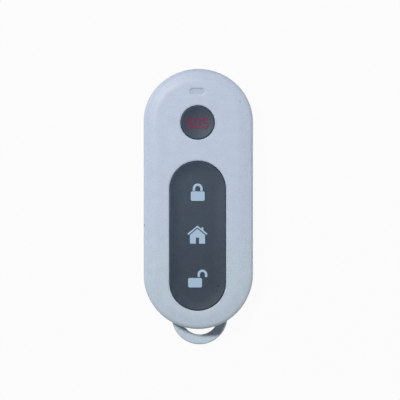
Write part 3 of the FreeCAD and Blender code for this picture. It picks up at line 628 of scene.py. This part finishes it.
def seen_directly(tree: NodeTree, share: float) -> NodeSocket:
    """Gives a share to the camera's, glossy and clear rays, and nothing to the rest.

    Args:
        tree: The material's nodes.
        share: What those rays get, from 0 to 1.

    Returns:
        The output that holds the share.
    """
    path = add_node(tree, "ShaderNodeLightPath")
    some = add_node(tree, "ShaderNodeMath",
                    {0: path.outputs["Is Camera Ray"], 1: path.outputs["Is Glossy Ray"]},
                    operation="ADD")
    every = add_node(tree, "ShaderNodeMath",
                     {0: some.outputs[0], 1: path.outputs["Is Transmission Ray"]},
                     operation="ADD", use_clamp=True)
    return add_node(tree, "ShaderNodeMath", {0: every.outputs[0], 1: share},
                    operation="MULTIPLY").outputs[0]


# Making pieces


def coat(finish: Finish, *nodes: str) -> None:
    """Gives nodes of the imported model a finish.

    Args:
        finish: The finish.
        *nodes: Names of nodes.
    """
    for name in nodes:
        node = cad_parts[name]
        if not node.material_slots:
            node.data.materials.append(None)
        for slot in node.material_slots:
            slot.material = finish.material()
        LOG.info("%s: %s", name, finish.name)


def finish_piece(bm: BMesh, name: str, finish: Finish, body: Body) -> bpy.types.Object:
    """Turns a mesh in the making into a piece that rides on a body.

    Args:
        bm: The mesh, in metres and in place; it is freed.
        name: The piece's name.
        finish: Its finish.
        body: The body that it rides on.

    Returns:
        The piece.
    """
    bmesh.ops.recalc_face_normals(bm, faces=bm.faces[:])
    mesh = bpy.data.meshes.new(name)
    bm.to_mesh(mesh)
    bm.free()
    mesh.materials.append(finish.material())
    piece = bpy.data.objects.new(name, mesh)
    bpy.context.scene.collection.objects.link(piece)
    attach(piece, body.value)
    LOG.info("%s: %d faces, %s", name, len(mesh.polygons), finish.name)
    return piece


Element = BMVert | BMEdge | BMFace


def new_edges(made: Iterable[Element]) -> list[BMEdge]:
    """Picks the edges out of what an operator made."""
    return [item for item in made if isinstance(item, BMEdge)]


class Sweep:
    """A row of edges carried along straight runs and arcs, which leaves a surface behind it."""

    def __init__(self, bm: BMesh, points: Iterable[tuple[float, float, float]]) -> None:
        """Joins a few points into the row that is carried.

        Args:
            bm: The mesh that it is drawn in.
            points: The row's points.
        """
        self.bm = bm
        corners = [bm.verts.new(point) for point in points]
        self.row = [bm.edges.new(pair) for pair in zip(corners, corners[1:])]

    def run(self, step: tuple[float, float, float], steps: int = 1) -> "Sweep":
        """Carries the row straight.

        Args:
            step: The whole way.
            steps: How many equal parts it is made in.

        Returns:
            The sweep itself.
        """
        for _ in range(steps):
            made = bmesh.ops.extrude_edge_only(self.bm, edges=self.row)["geom"]
            corners = [item for item in made if isinstance(item, BMVert)]
            bmesh.ops.translate(self.bm, verts=corners, vec=Vector(step) / steps)
            self.row = [edge for edge in new_edges(made) if set(edge.verts) <= set(corners)]
        return self

    def arc(self, centre: tuple[float, float, float], degrees: float, steps: int) -> "Sweep":
        """Carries the row round an upright axis.

        Args:
            centre: A point of the axis.
            degrees: The turn, positive to the left.
            steps: How many equal parts it is made in.

        Returns:
            The sweep itself.
        """
        corners = {corner for edge in self.row for corner in edge.verts}
        made = bmesh.ops.spin(self.bm, geom=[*self.row, *corners], cent=centre, axis=(0, 0, 1),
                              dvec=(0, 0, 0), angle=math.radians(degrees), steps=steps,
                              use_merge=degrees == 360)
        self.row = new_edges(made["geom_last"])
        return self


# Sub-assemblies


@dataclass
class Casing:
    """The two shells and the screws that hold them."""

    # Dull, pale blue-grey and faintly speckled, so that the crown shows as a soft band of light.
    # Its rims are painted paler, partly as rubbing wear and partly as a painted highlight, the
    # window's floor gets painted shade, and the colour is painted less blue toward the loop's end
    # as shade.
    shell: MouldedPlastic = MouldedPlastic(
        name="abs_spark_eroded_cool_grey", colour="#b5c0d2", loop_end_shade="#b4c1ce", roughness=0.38,
        gloss=0.17, grain_size=0.36, grain_depth=0.024, cloud_share=0.075, wear_and_highlight=0.18,
        wear_and_highlight_reach=0.15, recess_shade=RecessShade((0.0, 27.55, 10.5), 2.1, 0.92),
        specks=(Speck((10.9, 24.97, 10.7), 0.34, "#a3aebf"),
                Speck((-13.72, -6.7, 9.7), 0.34, "#666c77")))

    def dress(self) -> None:
        """Gives the shells their plastic and each screw its own rings."""
        coat(self.shell, "front_shell", "rear_shell")
        for name in ("screw_left", "screw_right"):
            centre = middle(name)
            coat(TurnedMetal(name=f"zinc_plated_steel_{name}", colour="#bfc3c6", roughness=0.3,
                             centre=(centre.x, centre.y)), name)


@dataclass
class Keys:
    """The two hard keys and the soft pads under them."""

    brim_height: float = 0.6
    crown_inset: float = 0.5
    crown_wall: float = 0.8
    crown_roof: float = 0.4
    pip_radius: float = 0.9
    pip_gap: float = 0.05
    edge_round: float = 0.12
    sharp_angle: float = 50.0
    travel: float = 0.35
    squash_spare: float = 0.001
    # Dark slate with a dry sheen, finer than the casing. Its rims are painted paler, partly as
    # rubbing wear and partly as a painted highlight; it is painted darker toward the loop's end
    # as shade.
    plastic: MouldedPlastic = MouldedPlastic(
        name="abs_fine_eroded_slate", colour="#344150", loop_end_shade="#303c4a", roughness=0.48,
        grain_size=0.28, grain_depth=0.028, cloud_share=0.19, gloss=0.21, edge=0.15, wear_and_highlight=0.5,
        specks=(Speck((5.3, -22.25, 10.72), 0.34, "#2c2427"),
                Speck((-1.15, 21.32, 10.5), 0.14, "#7d3046"),
                Speck((-3.3, 18.6, 10.6), 0.15, "#7d3046"),
                Speck((-2.83, 18.0, 10.6), 0.12, "#7d3046")))
    rubber: SiliconeRubber = SiliconeRubber(
        name="silicone_moulded_milky", colour="#9ba0a6", roughness=0.6)

    def dress(self) -> None:
        """Gives the keys their plastic and makes the pads."""
        coat(self.plastic, "sos_key", "function_key")
        self.make_sos_pad()
        self.make_function_pad()

    def section(self, pad: str, key: str, along: float,
                inner: list[tuple[float, float]]) -> list[tuple[float, float, float]]:
        """Gives a pad's half-section from under its roof, round its brim, to its top.

        Args:
            pad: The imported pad.
            key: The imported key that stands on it.
            along: Where the section stands along the fob.
            inner: Points under the roof, before the wall, as steps out and up from the pad's floor.

        Returns:
            The section's points, in metres.
        """
        crown = extent(key).x / 2 - self.crown_inset
        brim = extent(pad).x / 2
        height = extent(pad).z
        rows = [*inner, (crown - self.crown_wall, height - self.crown_roof),
                (crown - self.crown_wall, 0.0), (brim, 0.0), (brim, self.brim_height),
                (crown, self.brim_height), (crown, height)]
        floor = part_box(pad)[0].z
        return [(x * MM, along * MM, floor + up * MM) for x, up in rows]

    def pip(self, pad: str, switch: str, spare: float) -> list[tuple[float, float]]:
        """Gives the half-section of the pip that reaches down to a switch.

        Args:
            pad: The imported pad.
            switch: The switch's name.
            spare: How much higher than its plunger's own gap it ends.

        Returns:
            Steps out and up from the pad's floor, from the pip's middle to the roof.
        """
        level = (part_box(f"{switch}_plunger")[1].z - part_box(pad)[0].z) / MM + self.pip_gap + spare
        return [(0.0, level), (self.pip_radius, level),
                (self.pip_radius, extent(pad).z - self.crown_roof)]

    def make_sos_pad(self) -> None:
        """Spins the round pad, with its pip over the switch."""
        bm = bmesh.new()
        centre = middle("sos_pad") * MM
        points = self.section("sos_pad", "sos_key", centre.y / MM, self.pip("sos_pad", "sos", 0.0))
        points.append((0.0, centre.y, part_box("sos_pad")[1].z))
        Sweep(bm, points).arc(tuple(centre), 360, 64)
        self.finish_pad(bm, "sos_pad")

    def make_function_pad(self) -> None:
        """Carries the same section round the long key and puts a pip over each switch.

        The pips over the end switches stop higher, because the key also rocks on to those.
        """
        bm = bmesh.new()
        centre = middle("function_pad") * MM
        half = (extent("function_key").y - extent("function_key").x) / 2 * MM
        high, low = centre.y + half, centre.y - half
        points = self.section("function_pad", "function_key", high / MM, [])
        sweep = Sweep(bm, points).arc((0, high, 0), 180, 32).run((0, low - high, 0), 6)
        sweep.arc((0, low, 0), 180, 32).run((0, high - low, 0), 6)
        bmesh.ops.remove_doubles(bm, verts=bm.verts[:], dist=WELD * MM)
        bmesh.ops.edgeloop_fill(bm, edges=[edge for edge in bm.edges if edge.is_boundary])
        for switch, spare in (("lock", self.travel), ("home", 0.0), ("unlock", self.travel)):
            place = Vector((0, middle(f"{switch}_plunger").y * MM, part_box("function_pad")[0].z))
            outline = self.pip("function_pad", switch, spare)
            top = outline[-1][1] + self.crown_roof / 4
            outline[-1:] = [(self.pip_radius, top), (0.0, top)]
            points = [place + Vector((x, 0, up)) * MM for x, up in outline]
            Sweep(bm, points).arc(tuple(place), 360, 40)
        self.finish_pad(bm, "function_pad")

    def finish_pad(self, bm: BMesh, node: str) -> None:
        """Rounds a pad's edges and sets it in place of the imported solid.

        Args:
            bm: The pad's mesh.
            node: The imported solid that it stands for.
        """
        bmesh.ops.remove_doubles(bm, verts=bm.verts[:], dist=WELD * MM)
        bmesh.ops.recalc_face_normals(bm, faces=bm.faces[:])
        sharp = [edge for edge in bm.edges
                 if edge.is_manifold and edge.calc_face_angle(0) > math.radians(self.sharp_angle)]
        bmesh.ops.bevel(bm, geom=sharp, offset=self.edge_round * MM, offset_type="OFFSET",
                        affect="EDGES", segments=3, profile=0.5, material=-1, clamp_overlap=True)
        for face in bm.faces:
            face.smooth = True
        pad = finish_piece(bm, f"{node}_rubber", self.rubber, Body.CASING)
        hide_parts(node)
        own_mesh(pad)


@dataclass
class Legends:
    """The printing on the keys: a plain call word and three plain signs."""

    lift: float = 0.006
    thickness: float = 0.016
    sos_at: tuple[float, float] = (-0.01, 19.42)
    letter_width: float = 1.71
    letter_height: float = 3.04
    letter_stroke: float = 0.5
    letter_pitch: float = 2.0
    terminal: float = 24.0
    lock_at: tuple[float, float] = (0.02, 0.72)
    home_at: tuple[float, float] = (-0.04, -9.39)
    unlock_at: tuple[float, float] = (-0.66, -21.47)
    lock_width: float = 3.56
    lock_height: float = 2.42
    lock_round: float = 0.42
    shackle_radius: float = 0.95
    shackle_stroke: float = 0.6
    shackle_leg: float = 0.66
    shackle_gap: float = 0.12
    unlock_shift: float = 1.89
    unlock_rise: float = 0.13
    wall_half: float = 1.95
    wall_foot: float = -2.06
    wall_peak: float = 1.74
    roof_slope: float = 39.0
    roof_run: float = 2.46
    roof_peak: float = 2.32
    roof_stroke: float = 0.38
    door_half: float = 0.41
    door_top: float = -0.51
    chimney: tuple[float, float, float] = (1.05, 1.5, 2.12)
    red: PrintedInk = PrintedInk(name="ink_printed_red", colour="#7c2140", roughness=0.5, wear=0.5,
                                 grain_size=0.4, gloss=0.1)
    blue: PrintedInk = PrintedInk(name="ink_printed_pale_blue", colour="#9ab4cc", roughness=0.5,
                                  wear=0.06)
    keys: dict[Body, BVHTree] = field(default_factory=dict)

    def dress(self) -> None:
        """Prints each legend on its key."""
        self.print_on(self.draw_sos(), "sos_legend", Body.SOS_KEY, self.sos_at, self.red)
        self.print_on(self.draw_lock(), "lock_legend", Body.FUNCTION_KEY, self.lock_at, self.blue)
        self.print_on(self.draw_home(), "home_legend", Body.FUNCTION_KEY, self.home_at, self.blue)
        self.print_on(self.draw_lock(self.unlock_shift, self.unlock_rise), "unlock_legend",
                      Body.FUNCTION_KEY, self.unlock_at, self.blue)

    def top_of(self, body: Body) -> BVHTree:
        """Gives the surface of a key as something that a point can be dropped on.

        Args:
            body: The key's body, which has the key's name.

        Returns:
            The key's faces as a tree.
        """
        if body not in self.keys:
            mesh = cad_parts[body.value].data
            self.keys[body] = BVHTree.FromPolygons([corner.co for corner in mesh.vertices],
                                                   [face.vertices for face in mesh.polygons])
        return self.keys[body]

    def print_on(self, bm: BMesh, name: str, body: Body, at: tuple[float, float],
                 ink: PrintedInk) -> None:
        """Drops a flat drawing on a key, so that it follows the dish, and gives it a thickness.

        Args:
            bm: The drawing, in millimetres round its own centre.
            name: The piece's name.
            body: The key's body.
            at: Where the drawing's centre goes.
            ink: The ink.
        """
        bmesh.ops.remove_doubles(bm, verts=bm.verts[:], dist=WELD)
        bmesh.ops.scale(bm, verts=bm.verts[:], vec=(MM, MM, MM))
        bmesh.ops.translate(bm, verts=bm.verts[:], vec=Vector((*at, 0)) * MM)
        key = self.top_of(body)
        for corner in bm.verts:
            hit = key.ray_cast(Vector((corner.co.x, corner.co.y, 1.0)), Vector((0, 0, -1)))[0]
            corner.co.z = hit.z + self.lift * MM
        for face in bm.faces:
            if face.normal.z < 0:
                face.normal_flip()
        made = bmesh.ops.extrude_face_region(bm, geom=bm.faces[:])["geom"]
        top = [item for item in made if isinstance(item, BMVert)]
        bmesh.ops.translate(bm, verts=top, vec=(0, 0, self.thickness * MM))
        finish_piece(bm, name, ink, body)

    def draw_sos(self) -> BMesh:
        """Draws the three letters in plain round strokes.

        Returns:
            The flat drawing.
        """
        bm = bmesh.new()
        for place in (-self.letter_pitch, self.letter_pitch):
            self.draw_s(bm, place)
        half = self.letter_stroke / 2
        radius = self.letter_width / 2 - half
        straight = self.letter_height / 2 - half - radius
        ring = Sweep(bm, [(radius - half, straight, 0), (radius + half, straight, 0)])
        ring.arc((0, straight, 0), 180, 20).run((0, -2 * straight, 0), 4)
        ring.arc((0, -straight, 0), 180, 20).run((0, 2 * straight, 0), 4)
        return bm

    def draw_s(self, bm: BMesh, place: float) -> None:
        """Draws one S as two bowls, one turned against the other.

        Args:
            bm: The drawing.
            place: The letter's centre from the middle one's.
        """
        half = self.letter_stroke / 2
        radius = (self.letter_height / 2 - half) / 2
        turn = math.radians(self.terminal)
        start = [(place + out * math.cos(turn), radius + out * math.sin(turn), 0)
                 for out in (radius - half, radius + half)]
        sweep = Sweep(bm, start).arc((place, radius, 0), 270 - self.terminal, 24)
        sweep.arc((place, -radius, 0), self.terminal - 270, 24)

    def draw_lock(self, shift: float = 0.0, rise: float = 0.0) -> BMesh:
        """Draws a padlock: a body with rounded corners and a shackle.

        Args:
            shift: How far the shackle stands to the right of the body's middle.
            rise: How much higher it stands than on the closed lock.

        Returns:
            The flat drawing.
        """
        bm = bmesh.new()
        bmesh.ops.create_grid(bm, x_segments=1, y_segments=1, size=0.5)
        bmesh.ops.scale(bm, verts=bm.verts[:], vec=(self.lock_width, self.lock_height, 1))
        bmesh.ops.bevel(bm, geom=bm.verts[:], offset=self.lock_round, offset_type="OFFSET",
                        affect="VERTICES", segments=6, profile=0.5, material=-1)
        half = self.shackle_stroke / 2
        foot = self.lock_height / 2 + self.shackle_gap + rise
        left = shift - self.shackle_radius
        sweep = Sweep(bm, [(left - half, foot, 0), (left + half, foot, 0)])
        sweep.run((0, self.shackle_leg, 0)).arc((shift, foot + self.shackle_leg, 0), -180, 24)
        sweep.run((0, -self.shackle_leg, 0))
        return bm

    def draw_home(self) -> BMesh:
        """Draws a house: walls with a door, a roof set off by a gap, and a chimney.

        Returns:
            The flat drawing.
        """
        bm = bmesh.new()
        slope = math.radians(self.roof_slope)
        fall = math.tan(slope)
        half, door = self.wall_half, self.door_half
        eaves = self.wall_peak - half * fall
        walls = [(-half, self.wall_foot), (-door, self.wall_foot), (-door, self.door_top),
                 (door, self.door_top), (door, self.wall_foot), (half, self.wall_foot),
                 (half, eaves), (0, self.wall_peak), (-half, eaves)]
        rise = self.roof_stroke / 2 / math.cos(slope)
        left, right, top = self.chimney
        over = self.roof_peak + rise
        stack = [(left, over - left * fall), (right, over - right * fall), (right, top),
                 (left, top)]
        for shape in (walls, stack):
            bm.faces.new([bm.verts.new((x, y, 0)) for x, y in shape])
        lean = Vector((math.sin(slope), -math.cos(slope), 0)) * self.roof_stroke / 2
        end = Vector((-self.roof_run, self.roof_peak - self.roof_run * fall, 0))
        peak = [Vector((0, self.roof_peak + step, 0)) for step in (-rise, rise)]
        for side in (1, -1):
            tip = [Vector((side * point.x, point.y, 0)) for point in (end - lean, end + lean)]
            bm.faces.new([bm.verts.new(point) for point in (*tip, *peak)])
        return bm


@dataclass
class Board:
    """The circuit board with its switches and small parts."""

    chip_half: float = 1.95
    transistor_half: float = 0.65
    terminal_half: float = 0.5
    lens_half: float = 0.48
    switches: tuple[str, ...] = ("sos", "lock", "home", "unlock")

    def dress(self) -> None:
        """Gives the board, the switches and the small parts their finishes."""
        coat(Laminate(name="glass_epoxy_green_mask", colour="#1d5236", roughness=0.3),
             "circuit_board")
        for switch in self.switches:
            # Dull black frame, bright springy dome, warm ivory stem and a bright folded lid.
            coat(MouldedPlastic(name="nylon_moulded_black", colour="#17181b", roughness=0.5,
                                grain_size=0.15, grain_depth=0.002), f"{switch}_switch_base")
            coat(RolledMetal(name="spring_steel_stamped", colour="#b9bbc0", roughness=0.22),
                 f"{switch}_dome")
            coat(MouldedPlastic(name="acetal_moulded_ivory", colour="#cfc7ab", roughness=0.35,
                                grain_size=0.15, grain_depth=0.001), f"{switch}_plunger")
            coat(RolledMetal(name="nickel_plated_cover", colour="#c9c8c4", roughness=0.28),
                 f"{switch}_switch_cover")
        # Small dull bodies between bright tinned ends, and a clear lamp on its white carrier.
        coat(CappedPart(name="chip_moulded_epoxy_tinned_legs", colour="#1b1b1e", roughness=0.6,
                        centre=middle("encoder_chip").x, half=self.chip_half, axis=Axis.ACROSS),
             "encoder_chip")
        for node, name, colour, roughness, half in (
                ("transistor", "transistor_moulded_epoxy_tinned_legs", "#1b1b1e", 0.6,
                 self.transistor_half),
                ("resistors", "resistor_glazed_tinned_ends", "#222428", 0.25, self.terminal_half),
                ("capacitors", "capacitor_fired_ceramic_tinned_ends", "#a58a66", 0.5,
                 self.terminal_half)):
            coat(CappedPart(name=name, colour=colour, roughness=roughness, centre=middle(node).y,
                            half=half), node)
        coat(CappedPart(name="lamp_resin_on_white_carrier", colour="#e6e3d6", roughness=0.12,
                        centre=0.0, half=self.lens_half, axis=Axis.ACROSS, end_colour="#d8d8d4",
                        metal_ends=False, end_roughness=0.45), "status_led")
        coat(RolledMetal(name="nickel_plated_lid", colour="#c4c2bc", roughness=0.3),
             "saw_resonator")
        coat(RolledMetal(name="tinned_copper_stamped", colour="#c7c1b4", roughness=0.32,
                         run=Axis.ALONG), "antenna_loop")


@dataclass
class Power:
    """The coin cell and its two contacts."""

    def dress(self) -> None:
        """Gives the cell its drawn can and the contacts their plated sheet."""
        coat(TurnedMetal(name="stainless_steel_drawn_can", colour="#c2c3c4", roughness=0.26,
                         centre=(0.0, middle("coin_cell").y), ring=0.3), "coin_cell")
        coat(RolledMetal(name="nickel_plated_strap", colour="#c6c5c0", roughness=0.25),
             "battery_clip", "negative_contact")


@dataclass
class Lamp:
    """A round lamp that faces the fob."""

    name: str
    turn: float
    height: float
    distance: float
    size: float
    watts: float
    colour: str


@dataclass
class Studio:
    """The floor, the lamps, the surrounding light and the camera."""

    aim: tuple[float, float, float] = (0.475, -0.27, 8.2)
    camera_distance: float = 450.0
    camera_tilt: float = 3.08
    pixels_per_mm: float = 3.881
    image: int = 400
    sensor: float = 36.0
    floor_half: float = 1500.0
    ambient: float = 0.1
    ambient_colour: str = "#ffffff"
    lamps: tuple[Lamp, ...] = (
        Lamp("window", 135.0, 66.2, 900.0, 95.0, 6.9, "#ffffff"),
        Lamp("left_edge", 160.0, 10.0, 600.0, 160.0, 1.0, "#ffffff"),
        Lamp("right_edge", 0.0, 10.0, 600.0, 160.0, 1.32, "#ffffff"),
        Lamp("foot", 270.0, 10.0, 600.0, 160.0, 0.3, "#ffffff"))
    paint: StudioFloor = StudioFloor(name="board_painted_white", colour="#8c8c8c", roughness=0.7)

    def build(self) -> None:
        """Makes the stage and the camera."""
        self.make_floor()
        self.make_world()
        for lamp in self.lamps:
            self.make_lamp(lamp)
        self.make_camera()

    def make_floor(self) -> None:
        """Lays a wide board just under the fob."""
        bm = bmesh.new()
        bmesh.ops.create_grid(bm, x_segments=2, y_segments=2, size=self.floor_half * MM)
        mesh = bpy.data.meshes.new("floor")
        bm.to_mesh(mesh)
        bm.free()
        mesh.materials.append(self.paint.material())
        floor = bpy.data.objects.new("floor", mesh)
        bpy.context.scene.collection.objects.link(floor)

    def make_world(self) -> None:
        """Gives the surroundings their even light, and plain white to the camera."""
        world = bpy.data.worlds.new("studio")
        bpy.context.scene.world = world
        world.use_nodes = True
        tree = world.node_tree
        tree.nodes.clear()
        even = add_node(tree, "ShaderNodeBackground",
                        {"Color": linear(self.ambient_colour), "Strength": self.ambient})
        white = add_node(tree, "ShaderNodeBackground", {"Color": (1, 1, 1, 1), "Strength": 1.0})
        camera = add_node(tree, "ShaderNodeLightPath").outputs["Is Camera Ray"]
        mixed = add_node(tree, "ShaderNodeMixShader",
                         {0: camera, 1: even.outputs[0], 2: white.outputs[0]})
        add_node(tree, "ShaderNodeOutputWorld", {"Surface": mixed.outputs[0]})

    def make_lamp(self, lamp: Lamp) -> None:
        """Hangs a lamp at its turn and height round the fob, facing it.

        Args:
            lamp: The lamp.
        """
        turn, height = math.radians(lamp.turn), math.radians(lamp.height)
        away = Vector((math.cos(turn) * math.cos(height), math.sin(turn) * math.cos(height),
                       math.sin(height)))
        light = bpy.data.lights.new(lamp.name, "AREA")
        light.shape = "DISK"
        light.size = lamp.size * MM
        light.energy = lamp.watts
        light.color = linear(lamp.colour)[:3]
        hung = bpy.data.objects.new(lamp.name, light)
        hung.location = away * lamp.distance * MM
        hung.rotation_euler = away.to_track_quat("Z", "Y").to_euler()
        bpy.context.scene.collection.objects.link(hung)

    def make_camera(self) -> None:
        """Looks down on the fob, leaning a little from its right."""
        tilt = math.radians(self.camera_tilt)
        back = Vector((math.sin(tilt), 0, math.cos(tilt)))
        lens = self.pixels_per_mm * self.camera_distance * self.sensor / self.image
        data = bpy.data.cameras.new("camera")
        data.sensor_width = self.sensor
        data.lens = lens
        data.clip_start, data.clip_end = 0.01, 10.0
        camera = bpy.data.objects.new("camera", data)
        camera.location = (Vector(self.aim) + back * self.camera_distance) * MM
        camera.rotation_euler = (0, tilt, 0)
        bpy.context.scene.collection.objects.link(camera)
        bpy.context.scene.camera = camera
        bpy.context.scene.view_settings.view_transform = "Standard"


def main() -> None:
    """Dresses every sub-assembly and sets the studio."""
    logging.basicConfig(level=logging.INFO, format="%(name)s: %(message)s")
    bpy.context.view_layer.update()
    for assembly in (Casing(), Keys(), Legends(), Board(), Power()):
        assembly.dress()
    Studio().build()
    LOG.info("boxes written")


if __name__ == "__main__":
    main()
